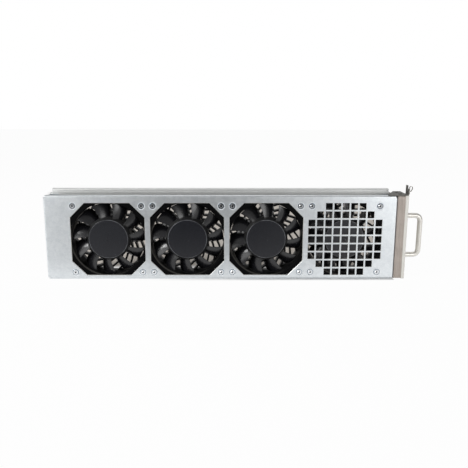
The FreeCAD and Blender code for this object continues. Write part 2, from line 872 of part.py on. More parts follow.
def impeller():
    # The hub's face is flat, and a steep shoulder leads from it to the hub's wall
    face_radius = hub_radius - hub_shoulder_width
    inner = hub_radius - hub_wall
    hub = revolve_y([(0, hub_face + hub_dimple_depth),
                     (hub_dimple_radius, hub_face + hub_dimple_depth),
                     (hub_dimple_radius + hub_dimple_depth, hub_face),
                     (face_radius, hub_face, hub_face_edge),
                     (hub_radius, hub_face + hub_shoulder_depth),
                     (hub_radius, hub_rear), (inner, hub_rear),
                     (inner, yoke_front, hub_inner_bend), (0, yoke_front)])
    one = blade()
    blades = [turned(one, 360 / blade_count * i) for i in range(blade_count)]
    return hub.fuse(blades).removeSplitter()


def rotor_yoke():
    # A drawn cup that fills the inside of the hub
    inner = yoke_radius - yoke_wall
    return revolve_y([(shaft_radius, yoke_front), (yoke_radius, yoke_front, hub_inner_bend),
                      (yoke_radius, yoke_rear), (inner, yoke_rear),
                      (inner, yoke_front + yoke_wall, hub_inner_bend - yoke_wall),
                      (yoke_boss_radius, yoke_front + yoke_wall),
                      (yoke_boss_radius, yoke_boss_rear), (shaft_radius, yoke_boss_rear)])


def magnet_ring():
    inner = magnet_radius - magnet_thickness
    return revolve_y([(magnet_radius, magnet_front), (magnet_radius, magnet_rear),
                      (inner, magnet_rear), (inner, magnet_front)])


def rotor_shaft():
    groove_rear = clip_front + clip_thickness
    return revolve_y([(0, yoke_front), (shaft_radius, yoke_front), (shaft_radius, clip_front),
                      (clip_groove_radius, clip_front), (clip_groove_radius, groove_rear),
                      (shaft_radius, groove_rear), (shaft_radius, shaft_end), (0, shaft_end)])


def retaining_clip():
    rear = clip_front + clip_thickness
    ring = revolve_y([(clip_groove_radius, clip_front), (clip_radius, clip_front),
                      (clip_radius, rear), (clip_groove_radius, rear)])
    slot = clip_slot / 2
    return ring.cut(box(-slot, slot, clip_front - past, rear + past, 0, clip_radius + past))


def bearing_tube():
    # Brass tube pressed into the base, with a shoulder in it for each bearing
    waist = bearing_radius - tube_shoulder
    return revolve_y([(tube_radius, tube_front), (tube_radius, tube_rear),
                      (bearing_radius, tube_rear), (bearing_radius, rear_bearing),
                      (waist, rear_bearing), (waist, front_bearing + bearing_width),
                      (bearing_radius, front_bearing + bearing_width),
                      (bearing_radius, tube_front)])


def bearings():
    bore = shaft_radius + shaft_fit
    rings = []
    for y in (front_bearing, rear_bearing):
        rings.append(revolve_y([(bore, y), (bearing_radius, y),
                                (bearing_radius, y + bearing_width), (bore, y + bearing_width)]))
    return Part.makeCompound(rings)


def stator_core():
    ring_radius = tube_radius + core_ring
    length = core_rear - core_front
    core = rod_y(core_radius, core_front, core_rear).cut(rod_y(tube_radius, 0, fan_depth))
    slot_outer = core_radius - pole_shoe
    cuts = []
    half_pitch = math.pi / pole_count
    for i in range(pole_count):
        mid = 2 * math.pi * i / pole_count + half_pitch
        reach = pole_width / 2

        def spot(radius, side):
            offset = half_pitch - math.asin(reach / radius)
            a = mid + side * offset
            return V(radius * math.sin(a), core_front, radius * math.cos(a))

        top = V(slot_outer * math.sin(mid), core_front, slot_outer * math.cos(mid))
        floor = V(ring_radius * math.sin(mid), core_front, ring_radius * math.cos(mid))
        slot = Part.Face(Part.Wire([
            Part.makeLine(spot(ring_radius, 1), spot(slot_outer, 1)),
            Part.Arc(spot(slot_outer, 1), top, spot(slot_outer, -1)).toShape(),
            Part.makeLine(spot(slot_outer, -1), spot(ring_radius, -1)),
            Part.Arc(spot(ring_radius, -1), floor, spot(ring_radius, 1)).toShape()]))
        cuts.append(slot.extrude(V(0, length, 0)))
        gap = core_radius * math.radians(pole_gap_angle) / 2
        mouth = box(-gap, gap, core_front, core_rear, slot_outer - past, core_radius + past)
        cuts.append(turned(mouth, math.degrees(mid)))
    return core.cut(cuts)


def stator_windings():
    # One coil round each pole, on its faces and clear of the shoe outside and the ring inside
    inner = tube_radius + core_ring + winding_clearance
    outer = math.sqrt((core_radius - pole_shoe) ** 2 - (winding_width / 2) ** 2)
    outer -= winding_clearance
    front = core_front - winding_overhang
    rear = core_rear + winding_overhang
    coils = []
    for i in range(pole_count):
        ring = rectangle(-winding_width / 2, winding_width / 2, front, rear, winding_overhang)
        slice_z = inner
        coil = rounded_face(ring, on_xy(slice_z)).extrude(V(0, 0, outer - slice_z))
        core = box(-pole_width / 2, pole_width / 2, core_front, core_rear, 0, outer + past)
        coils.append(turned(coil.cut(core), 360 / pole_count * i))
    return Part.makeCompound(coils)


def motor_board():
    bore = tube_radius + tube_fit
    return revolve_y([(bore, motor_board_front), (motor_board_radius, motor_board_front),
                      (motor_board_radius, board_rear), (bore, board_rear)])


# Assembly
def tray_parts():
    return {
        "tray_body": tray_body(),
        "rear_panel": rear_panel(),
        "guide_rail": guide_rail(),
        "fan_rivets": fan_rivets(),
        "end_collar": end_collar(),
        "sheet_rivets": sheet_rivets(),
        "emi_gasket": emi_gasket(),
        "faceplate": faceplate(),
        "top_bracket": top_bracket(),
        "bracket_rivets": bracket_rivets(),
        "emi_finger": emi_finger(),
        "handle": handle(),
        "handle_screws": handle_screws(),
        "distribution_board": distribution_board(),
        "board_standoffs": board_standoffs(),
        "board_screws": board_screws(),
        "power_connector": power_connector(),
        "fan_headers": fan_headers(),
    }


def fan_parts():
    still = {
        "fan_frame": fan_frame(),
        "motor_bearings": bearings(),
        "stator_core": stator_core(),
        "stator_windings": stator_windings(),
        "motor_board": motor_board(),
    }
    turning = {
        "impeller": impeller(),
        "rotor_yoke": rotor_yoke(),
        "magnet_ring": magnet_ring(),
        "rotor_shaft": rotor_shaft(),
        "retaining_clip": retaining_clip(),
    }
    # The four guards share a node, and so do the four bearing tubes
    shared = {
        "fan_guards": fan_guard(),
        "bearing_tubes": bearing_tube(),
    }
    parts = {}
    for name, shape in shared.items():
        parts[name] = Part.makeCompound([at_fan(shape, i) for i in range(fan_count)])
    for i in range(fan_count):
        for name, shape in still.items():
            parts["%s_%d" % (name, i + 1)] = at_fan(shape, i)
        for name, shape in turning.items():
            parts["%s_%d" % (name, i + 1)] = at_fan(turned(shape, rotor_angles[i]), i)
    return parts


def main():
    os.makedirs("parts", exist_ok=True)
    parts = tray_parts()
    parts.update(fan_parts())
    for name, shape in parts.items():
        shape.translate(origin * -1)
        shape.exportStep("parts/%s.step" % name)


main()
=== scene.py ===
"""Looks of the fan tray: finishes, foam gasket, bow handle, studio light and camera."""

import math

import bmesh
import bpy
from mathutils import Matrix, Vector, noise

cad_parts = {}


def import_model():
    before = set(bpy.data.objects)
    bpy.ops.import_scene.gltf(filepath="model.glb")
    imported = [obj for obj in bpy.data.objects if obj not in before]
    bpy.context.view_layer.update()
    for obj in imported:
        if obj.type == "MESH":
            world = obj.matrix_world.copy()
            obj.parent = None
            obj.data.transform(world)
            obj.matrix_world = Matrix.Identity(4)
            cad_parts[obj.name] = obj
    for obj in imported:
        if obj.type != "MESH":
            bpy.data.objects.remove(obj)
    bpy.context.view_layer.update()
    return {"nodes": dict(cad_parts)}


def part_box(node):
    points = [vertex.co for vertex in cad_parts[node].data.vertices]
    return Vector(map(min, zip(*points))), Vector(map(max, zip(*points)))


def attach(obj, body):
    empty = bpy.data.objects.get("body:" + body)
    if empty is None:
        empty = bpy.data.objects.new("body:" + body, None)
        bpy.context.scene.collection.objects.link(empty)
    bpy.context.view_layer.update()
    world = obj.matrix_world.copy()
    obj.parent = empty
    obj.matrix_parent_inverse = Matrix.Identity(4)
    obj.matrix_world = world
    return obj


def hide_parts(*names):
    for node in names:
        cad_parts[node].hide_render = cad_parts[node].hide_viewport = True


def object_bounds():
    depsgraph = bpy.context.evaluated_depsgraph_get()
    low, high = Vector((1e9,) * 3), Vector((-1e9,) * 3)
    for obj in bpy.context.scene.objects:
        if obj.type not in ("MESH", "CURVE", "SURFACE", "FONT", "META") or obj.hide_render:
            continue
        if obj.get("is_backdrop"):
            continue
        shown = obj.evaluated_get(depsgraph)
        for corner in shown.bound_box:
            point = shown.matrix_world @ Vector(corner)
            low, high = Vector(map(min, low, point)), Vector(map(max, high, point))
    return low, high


MM = 0.001
FAN_COUNT = 4

# Camera, worked out from the sixteen rivets in the photograph
PHOTO_SIDE = 468
FOCAL_PIXELS = 580
CAMERA_PLACE = (-0.01775, -0.90125, 0.2651)
CAMERA_PITCH = math.radians(12.4)
CAMERA_YAW = math.radians(0.92)
CAMERA_ROLL = math.radians(0.18)

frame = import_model()


# Shader expressions
class Signal:
    """One output of a material's nodes. Python's operators on it add Math nodes."""

    def __init__(self, paint, socket):
        self.paint = paint
        self.socket = socket

    def math(self, operation, *values):
        return self.paint.node("ShaderNodeMath", {"operation": operation},
                               dict(enumerate(values)))

    def __add__(self, other):
        return self.math("ADD", self, other)

    def __radd__(self, other):
        return self.math("ADD", other, self)

    def __sub__(self, other):
        return self.math("SUBTRACT", self, other)

    def __rsub__(self, other):
        return self.math("SUBTRACT", other, self)

    def __mul__(self, other):
        return self.math("MULTIPLY", self, other)

    def __truediv__(self, other):
        return self.math("DIVIDE", self, other)

    def step(self, low, high):
        """0 below low, 1 above high, and a smooth rise between them."""
        settings = {"interpolation_type": "SMOOTHSTEP"}
        return self.paint.node("ShaderNodeMapRange", settings,
                               {"Value": self, "From Min": low, "From Max": high})

    def wave(self):
        return self.math("SINE", self)

    def size(self):
        return self.math("ABSOLUTE", self)

    def root(self):
        return self.math("SQRT", self)

    def fraction(self):
        return self.math("FRACT", self)

    def within(self, low, high, soft):
        """1 between low and high, with soft edges as wide as soft."""
        return self.step(low - soft, low) * (1 - self.step(high, high + soft))

    def most(self, other):
        return self.math("MAXIMUM", self, other)


# Sockets of the Mix node that carry its colours
MIX_SHARE, MIX_LOW, MIX_HIGH, MIX_RESULT = 0, 6, 7, 2


class Paint:
    """A material under construction, with the patterns that the finishes are made of."""

    def __init__(self, name):
        self.material = bpy.data.materials.new(name)
        self.material.use_nodes = True
        self.tree = self.material.node_tree
        self.tree.nodes.clear()
        self.place = self.node("ShaderNodeTexCoord", {}, {}, "Object")

    def node(self, kind, settings, inputs, output=0):
        """Adds a node: its settings first, then the values or links of its sockets."""
        made = self.tree.nodes.new(kind)
        for name, value in settings.items():
            setattr(made, name, value)
        for name, value in inputs.items():
            if isinstance(value, Signal):
                self.tree.links.new(value.socket, made.inputs[name])
            else:
                made.inputs[name].default_value = value
        return Signal(self, made.outputs[output])

    def stretched(self, x, y, z):
        """The place on the piece, scaled along each axis, for patterns with a direction."""
        return self.node("ShaderNodeMapping", {"vector_type": "POINT"},
                         {"Vector": self.place, "Scale": (x, y, z)})

    def grain(self, scale, detail, rough=0.5, place=None):
        """Smooth noise from 0 to 1, with scale waves a metre."""
        return self.node("ShaderNodeTexNoise", {"noise_dimensions": "3D"},
                         {"Vector": place or self.place, "Scale": scale, "Detail": detail,
                          "Roughness": rough})

    def cells(self, scale, output="Distance"):
        """Irregular cells, scale of them a metre: the distance to each middle, or its colour."""
        return self.node("ShaderNodeTexVoronoi", {"feature": "F1"},
                         {"Vector": self.place, "Scale": scale}, output)

    def axis(self, index, source=None):
        """One coordinate of a vector, by default of the place on the piece, in metres."""
        return self.node("ShaderNodeSeparateXYZ", {}, {0: source or self.place}, index)

    def ripple(self, index, pitch):
        """A sine along one axis, from -1 to 1, with one wave for each pitch."""
        return (self.axis(index) * (2 * math.pi / pitch)).wave()

    def facing(self, index):
        """How far the surface faces along one axis, from -1 to 1."""
        return self.axis(index, self.node("ShaderNodeNewGeometry", {}, {}, "Normal"))

    def between(self, low, high, share):
        """The colour low where share is 0, and high where it is 1."""
        return self.node("ShaderNodeMix", {"data_type": "RGBA"},
                         {MIX_SHARE: share, MIX_LOW: colour(low), MIX_HIGH: colour(high)},
                         MIX_RESULT)

    def bump(self, height, depth):
        """Relief of a pattern, depth metres deep where it goes from 0 to 1."""
        return self.node("ShaderNodeBump", {},
                         {"Height": height, "Distance": depth, "Strength": 1.0})

    def finish(self, **sockets):
        """The Principled shader with these sockets, and the material's output."""
        names = {key.replace("_", " ").title().replace("Ior", "IOR"): value
                 for key, value in sockets.items()}
        shader = self.node("ShaderNodeBsdfPrincipled", {}, names)
        self.node_output(shader)
        return self.material

    def node_output(self, shader):
        out = self.tree.nodes.new("ShaderNodeOutputMaterial")
        self.tree.links.new(shader.socket, out.inputs["Surface"])


def colour(value):
    """A colour socket's value: a signal as it is, or three numbers with a full alpha."""
    return value if isinstance(value, Signal) else (*value[:3], 1.0)


# Places on the tray that its finishes follow
FAN_PITCH = 122.4 * MM
LAST_FAN = 168.75 * MM
FAN_AXIS_HEIGHT = 63.5 * MM
FIXING_REACH = 52.5 * MM
PLACES_LEFT = 9  # places of the fans' pitch left of the last fan, more than the tray has
FRONT_SHEET_REAR = -22.9 * MM
FRONT_INNER_EDGES = (-0.285, 0.243)
FRONT_INNER_HEIGHTS = (0.0045, 0.126)

# Rings round a rivet and round a fan's axis, by their radii
# The first ring is a painted highlight round each rivet's seat in the front sheet
HALO_HIGHLIGHT_RING = (4.5 * MM, 5.8 * MM)
# The next two rings carry painted shade: in the mandrel's hole and round a rivet head's rim
MANDREL_EDGE = (1.1 * MM, 1.4 * MM)
HEAD_RIM = (3.7 * MM, 4.1 * MM)
HUB_RADIUS = 34.0 * MM
HUB_FACE_RADIUS = 30.2 * MM
HUB_FACE_EDGE = (HUB_FACE_RADIUS - 0.8 * MM, HUB_FACE_RADIUS - 0.4 * MM)
HUB_RIM = (HUB_FACE_RADIUS - 0.5 * MM, HUB_FACE_RADIUS + 0.1 * MM)
HUB_SHOULDER = (HUB_FACE_RADIUS + 0.3 * MM, HUB_RADIUS + 0.2 * MM)

# Widths over which one finish turns into the next
SHARP_EDGE = 0.1 * MM
CRISP_EDGE = 0.2 * MM
SOFT_EDGE = 0.3 * MM

# Pitches of the fine patterns
LAMINATION = 0.5 * MM
COIL_WIRE = 0.35 * MM
TRACK_PITCH = 2.6 * MM
TRACK_ROW_PITCH = 3.8 * MM
WEAVE_PITCH = 0.55 * MM
FLOW_SCALE = 45

# Colours that stand for more than the two tones of a pattern
# bare steel of the cut edges, made pale enough to be a painted highlight along them as well
BARE_STEEL_AND_HIGHLIGHT = (0.80, 0.76, 0.68)
# painted highlight round each rivet's seat in the front sheet
HALO_HIGHLIGHT = (0.86, 0.89, 0.91)
# painted shade round a rivet head's rim
RIVET_RIM_SHADE = (0.20, 0.26, 0.32)
# painted shade in a rivet's mandrel hole
MANDREL_HOLE_SHADE = (0.03, 0.035, 0.045)
# painted light: a fan's faces towards the back, which lie in shade, are painted lighter
OUTLET_LIGHTENING = (0.026, 0.026, 0.028)
# painted highlight on the mouth of a fan's bore
MOUTH_HIGHLIGHT = (0.20, 0.19, 0.175)
# painted sheen on the hub's face
HUB_FACE_SHEEN = (0.0095, 0.0105, 0.0155)
# painted shade on the hub's shoulder
HUB_SHOULDER_SHADE = (0.002, 0.002, 0.0025)
# painted highlight on the rim of the hub's face
HUB_RIM_HIGHLIGHT = (0.16, 0.165, 0.18)


# Metal finishes
def zinc_sheet():
    """Hot-dip zinc on rolled steel, with a painted highlight: a pale, matt ring round each of the
    fans' rivets, for the light on the sheet's seat there.
    """
    p = Paint("zinc_sheet")
    spangle = p.axis(0, p.cells(210, output="Color"))
    flake = p.axis(1, p.cells(620, output="Color"))
    rolling = p.grain(1, 3, place=p.stretched(12, 900, 900))
    bloom = p.grain(9, 4)
    speckle = p.grain(2600, 1)
    tone = spangle * 0.32 + flake * 0.22 + rolling * 0.28 + bloom * 0.18
    zinc = p.between((0.68, 0.715, 0.74), (0.77, 0.80, 0.82), tone.step(0.15, 0.85))
    # The cut edges are bare steel, pale and matt: partly their real colour, partly a painted
    # highlight along them
    cut = cut_edge(p)
    # painted highlight: pale and matt in a ring round each rivet
    halo_highlight = from_fixing(p).within(*HALO_HIGHLIGHT_RING, SOFT_EDGE) * on_front(p)
    base = p.between(p.between(zinc, BARE_STEEL_AND_HIGHLIGHT, cut), HALO_HIGHLIGHT, halo_highlight)
    rough = 0.33 + spangle * 0.05 + bloom * 0.03 + speckle * 0.04
    relief = p.bump(rolling * 0.5 + speckle * 0.5, 0.02 * MM)
    return p.finish(base_color=base, metallic=0.85 - cut * 0.6 - halo_highlight * 0.75, roughness=rough,
                    normal=relief)


def from_fan_axis(p):
    """How far a place is to the side of and above the axis of the nearest fan."""
    steps = (p.axis(0) - (LAST_FAN - FAN_PITCH * (PLACES_LEFT + 0.5))) / FAN_PITCH
    aside = (steps.fraction() - 0.5) * FAN_PITCH
    return aside, p.axis(2) - FAN_AXIS_HEIGHT


def from_fixing(p):
    """How far a place on the front is from the nearest of the fans' rivets."""
    aside, above = from_fan_axis(p)
    aside = aside.size() - FIXING_REACH
    above = above.size() - FIXING_REACH
    return (aside * aside + above * above).root()


def on_front(p):
    """1 on the front of the tray beside the four fans, and 0 elsewhere."""
    ahead = 1 - p.axis(1).step(FRONT_SHEET_REAR, FRONT_SHEET_REAR + SHARP_EDGE)
    middle = LAST_FAN - FAN_PITCH * (FAN_COUNT - 1) / 2
    reach = FAN_PITCH * FAN_COUNT / 2
    return ahead * (1 - (p.axis(0) - middle).size().step(reach, reach + SHARP_EDGE))


def cut_edge(p):
    """1 on the bare edges of the openings in the front sheet, and 0 elsewhere."""
    sideways = 1 - p.facing(1).size().step(0.5, 0.85)
    in_sheet = 1 - p.axis(1).step(FRONT_SHEET_REAR, FRONT_SHEET_REAR + SHARP_EDGE)
    along, up = p.axis(0), p.axis(2)
    within = (along.step(FRONT_INNER_EDGES[0], FRONT_INNER_EDGES[0] + MM)
              * (1 - along.step(FRONT_INNER_EDGES[1], FRONT_INNER_EDGES[1] + MM))
              * up.step(FRONT_INNER_HEIGHTS[0], FRONT_INNER_HEIGHTS[0] + MM)
              * (1 - up.step(FRONT_INNER_HEIGHTS[1], FRONT_INNER_HEIGHTS[1] + MM)))
    return sideways * in_sheet * within


def dull_zinc():
    """Duller zinc of the rail and the rear panel, a little warm, paler and less metallic than the
    front sheet's: painted light that makes them render lighter.
    """
    p = Paint("dull_zinc")
    spangle = p.axis(0, p.cells(240, output="Color"))
    rolling = p.grain(1, 3, place=p.stretched(14, 800, 800))
    stain = p.grain(35, 4)
    tone = spangle * 0.3 + rolling * 0.15 + stain * 0.55
    base = p.between((0.74, 0.75, 0.74), (0.84, 0.85, 0.84), tone)
    return p.finish(base_color=base, metallic=0.55, roughness=0.40 + stain * 0.06,
                    normal=p.bump(rolling, 0.005 * MM))


def rivet_metal():
    """Bright drawn aluminium, with painted shade: dark in the mandrel's hole and bluish dark round
    the head's rim, where it meets its seat.
    """
    p = Paint("rivet_metal")
    marks = p.grain(700, 3)
    out = from_fixing(p)
    front = on_front(p)
    # painted shade: dark in the mandrel's hole and bluish round the head's rim
    hole_shade = (1 - out.step(*MANDREL_EDGE)) * front
    rim = out.step(*HEAD_RIM) * front
    bright = p.between((0.70, 0.72, 0.74), (0.84, 0.86, 0.88), marks)
    base = p.between(p.between(bright, RIVET_RIM_SHADE, rim), MANDREL_HOLE_SHADE, hole_shade)
    return p.finish(base_color=base, metallic=1.0, roughness=0.10 + marks * 0.05 + hole_shade * 0.4,
                    normal=p.bump(marks, 0.001 * MM))


def bracket_metal():
    """Dark grey plated steel, brushed along its length."""
    p = Paint("bracket_metal")
    brushed = p.grain(1, 3, place=p.stretched(60, 1800, 1800))
    patches = p.grain(120, 3)
    base = p.between((0.085, 0.082, 0.075), (0.17, 0.165, 0.15), brushed * 0.5 + patches * 0.5)
    return p.finish(base_color=base, metallic=0.85, roughness=0.36 + patches * 0.14,
                    normal=p.bump(brushed, 0.03 * MM))


def worked_metal(name, marks, dark, pale, gloss, spread, depth, detail=2):
    """Bare metal with fine marks of how it was made, so many to a metre along each axis."""
    p = Paint(name)
    worked = p.grain(1, detail, place=p.stretched(*marks))
    return p.finish(base_color=p.between(dark, pale, worked), metallic=1.0,
                    roughness=gloss + worked * spread, normal=p.bump(worked, depth))


def spring_metal():
    """Rolled stainless spring strip."""
    return worked_metal("spring_metal", (2200, 120, 2200), (0.20, 0.18, 0.16),
                        (0.36, 0.33, 0.30), gloss=0.22, spread=0.12, depth=0.02 * MM)


def screw_steel():
    """Zinc-plated screws with a slight blue passivation."""
    return worked_metal("screw_steel", (900, 900, 900), (0.46, 0.50, 0.56),
                        (0.66, 0.69, 0.73), gloss=0.24, spread=0.16, depth=0.03 * MM, detail=3)


def yoke_steel():
    """Deep-drawn steel cup with draw lines along its depth."""
    return worked_metal("yoke_steel", (900, 40, 900), (0.30, 0.30, 0.31),
                        (0.48, 0.48, 0.49), gloss=0.30, spread=0.15, depth=0.04 * MM, detail=3)


def ground_steel():
    """Ground bearing and shaft steel."""
    return worked_metal("ground_steel", (300, 6000, 300), (0.55, 0.55, 0.56),
                        (0.74, 0.74, 0.75), gloss=0.14, spread=0.12, depth=0.01 * MM)


def tube_brass():
    """Turned brass with fine tool rings round its axis."""
    return worked_metal("tube_brass", (200, 5000, 200), (0.48, 0.33, 0.12),
                        (0.70, 0.52, 0.22), gloss=0.22, spread=0.12, depth=0.01 * MM)


def handle_metal():
    """Satin nickel on round rod, with fine rings where it was polished."""
    p = Paint("handle_metal")
    polish = p.grain(1, 3, place=p.stretched(500, 1500, 260))
    rubbed = p.grain(60, 3)
    base = p.between((0.78, 0.75, 0.69), (0.90, 0.88, 0.83), polish * 0.4 + rubbed * 0.6)
    return p.finish(base_color=base, metallic=0.45, roughness=0.26 + rubbed * 0.12,
                    normal=p.bump(polish, 0.02 * MM))


def core_steel():
    """Stack of half-millimetre laminations under a thin varnish."""
    p = Paint("core_steel")
    layers = p.ripple(1, LAMINATION)
    stain = p.grain(350, 3)
    base = p.between((0.10, 0.10, 0.105), (0.30, 0.29, 0.28), layers * 0.25 + stain * 0.6)
    return p.finish(base_color=base, metallic=0.8, roughness=0.4 + stain * 0.2,
                    normal=p.bump(layers, 0.06 * MM))


# Plastic, ceramic, copper and board finishes
def moulded_grain(p, texture):
    """The spark-eroded texture, the broad flow marks and the tone of a moulded surface."""
    spark = p.grain(texture, 3, 0.6)
    flow = p.grain(FLOW_SCALE, 3)
    return spark, flow, spark * 0.45 + flow * 0.55


def moulded_black(name, low, high, gloss, texture, shine=0.5):
    """Glass-filled black plastic."""
    p = Paint(name)
    spark, flow, tone = moulded_grain(p, texture)
    return p.finish(base_color=p.between(low, high, tone), roughness=gloss + flow * 0.12,
                    specular_ior_level=shine, normal=p.bump(spark, 0.05 * MM))


def fan_plastic():
    """Black moulding, with a painted highlight round the mouth of the bore where it faces up and
    along the tray, and painted lighter where it faces the back, which lies in shade.
    """
    p = Paint("fan_plastic")
    spark, flow, tone = moulded_grain(p, 2400)
    # painted highlight on the bore's mouth where it faces up and along the tray; painted
    # lightening where the moulding faces the back
    forward = p.facing(1) * -1
    rounded = forward.step(0.15, 0.45) * (1 - forward.step(0.75, 0.95))
    to_light = (p.facing(0) * 0.7 + p.facing(2) * 0.7).step(0.1, 0.6)
    outlet = p.facing(1).step(0.3, 0.8)
    clean = p.between((0.002, 0.002, 0.0022), (0.0045, 0.0045, 0.005), tone)
    outlet_lightened = p.between(clean, OUTLET_LIGHTENING, outlet)
    base = p.between(outlet_lightened, MOUTH_HIGHLIGHT, rounded * to_light * 0.25)
    return p.finish(base_color=base, roughness=0.42 + flow * 0.12, specular_ior_level=0.035,
                    normal=p.bump(spark, 0.05 * MM))


def guard_plastic():
    return moulded_black("guard_plastic", (0.012, 0.012, 0.013), (0.024, 0.024, 0.026),
                         gloss=0.36, texture=2800, shine=0.35)


def impeller_plastic():
    """Smooth black moulding, with a painted highlight on the rim of the hub's face, a painted
    sheen on the face, and painted shade on the hub's shoulder, which is also duller.
    """
    p = Paint("impeller_plastic")
    spark, flow, tone = moulded_grain(p, 3200)
    aside, above = from_fan_axis(p)
    out = (aside * aside + above * above).root()
    forward = (p.facing(1) * -1).step(0.2, 0.5)
    # painted highlight on the hub's rim, painted sheen on its face and painted shade on its
    # shoulder
    rim = out.within(*HUB_RIM, SOFT_EDGE) * forward
    shoulder = out.within(*HUB_SHOULDER, CRISP_EDGE)
    face = 1 - out.step(*HUB_FACE_EDGE)
    black = p.between((0.006, 0.006, 0.0075), (0.012, 0.012, 0.014), tone)
    black = p.between(black, HUB_FACE_SHEEN, face * 0.8)
    black = p.between(black, HUB_SHOULDER_SHADE, shoulder)
    base = p.between(black, HUB_RIM_HIGHLIGHT, rim * (flow.step(0.35, 0.6) * 0.6 + 0.2))
    return p.finish(base_color=base, roughness=0.20 + flow * 0.08 + shoulder * 0.35,
                    specular_ior_level=0.6, normal=p.bump(spark, 0.03 * MM))


def connector_plastic():
    return moulded_black("connector_plastic", (0.014, 0.014, 0.015), (0.030, 0.030, 0.032),
                         gloss=0.30, texture=3800)


def magnet_ceramic():
    """Pressed ferrite, dull and slightly pitted."""
    p = Paint("magnet_ceramic")
    pits = p.cells(1500)
    base = p.between((0.040, 0.038, 0.037), (0.085, 0.082, 0.080), pits)
    return p.finish(base_color=base, roughness=0.62 + pits * 0.2, normal=p.bump(pits, 0.08 * MM))


def copper_coil():
    """Enamelled copper wire of 0.35 mm, laid side by side round each pole."""
    p = Paint("copper_coil")
    wires = p.ripple(1, COIL_WIRE)
    enamel = p.grain(260, 3)
    base = p.between((0.36, 0.10, 0.030), (0.72, 0.27, 0.10), wires * 0.3 + enamel * 0.7)
    return p.finish(base_color=base, metallic=0.85, roughness=0.28 + enamel * 0.12,
                    coat_weight=0.6, normal=p.bump(wires, 0.08 * MM))


def circuit_board():
    """Green solder mask over copper tracks, which show as paler raised lines."""
    p = Paint("circuit_board")
    across = p.ripple(1, TRACK_PITCH)
    along = p.ripple(2, TRACK_ROW_PITCH)
    zone = p.axis(0, p.cells(75, output="Color")).step(0.45, 0.55)
    tracks = (across * zone + along * (1 - zone)).step(0.55, 0.75)
    weave = p.grain(1800, 2)
    base = p.between((0.006, 0.075, 0.030), (0.020, 0.170, 0.070), tracks * 0.8 + weave * 0.2)
    return p.finish(base_color=base, roughness=0.30 + weave * 0.12, coat_weight=0.3,
                    normal=p.bump(tracks + weave * 0.15, 0.04 * MM))


def faceplate_paint():
    """Ivory powder coat with a fine orange peel."""
    p = Paint("faceplate_paint")
    peel = p.grain(900, 2)
    dust = p.grain(40, 4)
    base = p.between((0.78, 0.76, 0.70), (0.86, 0.845, 0.80), dust * 0.6 + peel * 0.4)
    return p.finish(base_color=base, roughness=0.38 + dust * 0.12,
                    normal=p.bump(peel, 0.08 * MM))


def gasket_fabric():
    """Silvered nylon weave over foam, creased along the strip and browned with age, and painted
    darker in the hollows of the creases: painted shade.
    """
    p = Paint("gasket_fabric")
    along, deep, up = (p.ripple(index, WEAVE_PITCH) for index in range(3))
    weave = (along * up).most(deep * up)
    creases = p.grain(1, 4, 0.6, p.stretched(1100, 500, 22))
    age = p.grain(55, 3)
    # the tone follows the creases' relief, darker in their hollows: painted shade
    tone = creases * 0.55 + age * 0.3 + weave.size() * 0.15
    base = p.between((0.30, 0.25, 0.215), (0.62, 0.55, 0.50), tone.step(0.25, 0.75))
    relief = creases + weave * 0.2
    return p.finish(base_color=base, metallic=0.25, roughness=0.5 + age * 0.2,
                    sheen_weight=0.3, normal=p.bump(relief, 0.12 * MM))


FINISHES = {
    zinc_sheet: ["tray_body"],
    dull_zinc: ["rear_panel", "guide_rail", "end_collar"],
    rivet_metal: ["fan_rivets", "sheet_rivets"],
    screw_steel: ["handle_screws", "board_screws", "board_standoffs"],
    bracket_metal: ["top_bracket", "bracket_rivets"],
    spring_metal: ["emi_finger"],
    faceplate_paint: ["faceplate"],
    circuit_board: ["distribution_board"],
    connector_plastic: ["power_connector", "fan_headers"],
    guard_plastic: ["fan_guards"],
    tube_brass: ["bearing_tubes"],
}
FAN_FINISHES = {
    "fan_frame": fan_plastic,
    "impeller": impeller_plastic,
    "motor_board": circuit_board,
    "motor_bearings": ground_steel,
    "rotor_shaft": ground_steel,
    "retaining_clip": spring_metal,
    "rotor_yoke": yoke_steel,
    "magnet_ring": magnet_ceramic,
    "stator_core": core_steel,
    "stator_windings": copper_coil,
}
made_finishes = {}


def finish_named(maker):
    """Each finish is made once and shared by the pieces that wear it."""
    if maker not in made_finishes:
        made_finishes[maker] = maker()
    return made_finishes[maker]


def dress(piece, maker):
    piece.data.materials.clear()
    piece.data.materials.append(finish_named(maker))


def dress_frame():
    for maker, names in FINISHES.items():
        for name in names:
            dress(frame["nodes"][name], maker)
    for part, maker in FAN_FINISHES.items():
        for number in range(1, FAN_COUNT + 1):
            dress(frame["nodes"][f"{part}_{number}"], maker)


# Modelling helpers
def nothing_selected():
    bpy.ops.object.select_all(action="DESELECT")


def start_box(name, low, high):
    """A box mesh between two corners, named and selected alone."""
    nothing_selected()
    centre = [(a + b) / 2 for a, b in zip(low, high)]
    bpy.ops.mesh.primitive_cube_add(size=1, location=centre)
    piece = bpy.context.object
    piece.name = name
    piece.scale = [b - a for a, b in zip(low, high)]
    bpy.ops.object.transform_apply(location=True, rotation=True, scale=True)
    return piece


def pick(kind, test):
    """In edit mode, selects the faces or the edges for which the test holds."""
    bpy.ops.mesh.select_mode(type=kind)
    bpy.ops.mesh.select_all(action="DESELECT")
    mesh = bmesh.from_edit_mesh(bpy.context.object.data)
    for item in mesh.faces if kind == "FACE" else mesh.edges:
        item.select_set(test(item))
    bmesh.update_edit_mesh(bpy.context.object.data)


def apply_modifier(piece, kind, **settings):
    modifier = piece.modifiers.new(kind.lower(), kind)
    for name, value in settings.items():
        setattr(modifier, name, value)
    bpy.context.view_layer.objects.active = piece
    bpy.ops.object.modifier_apply(modifier=modifier.name)


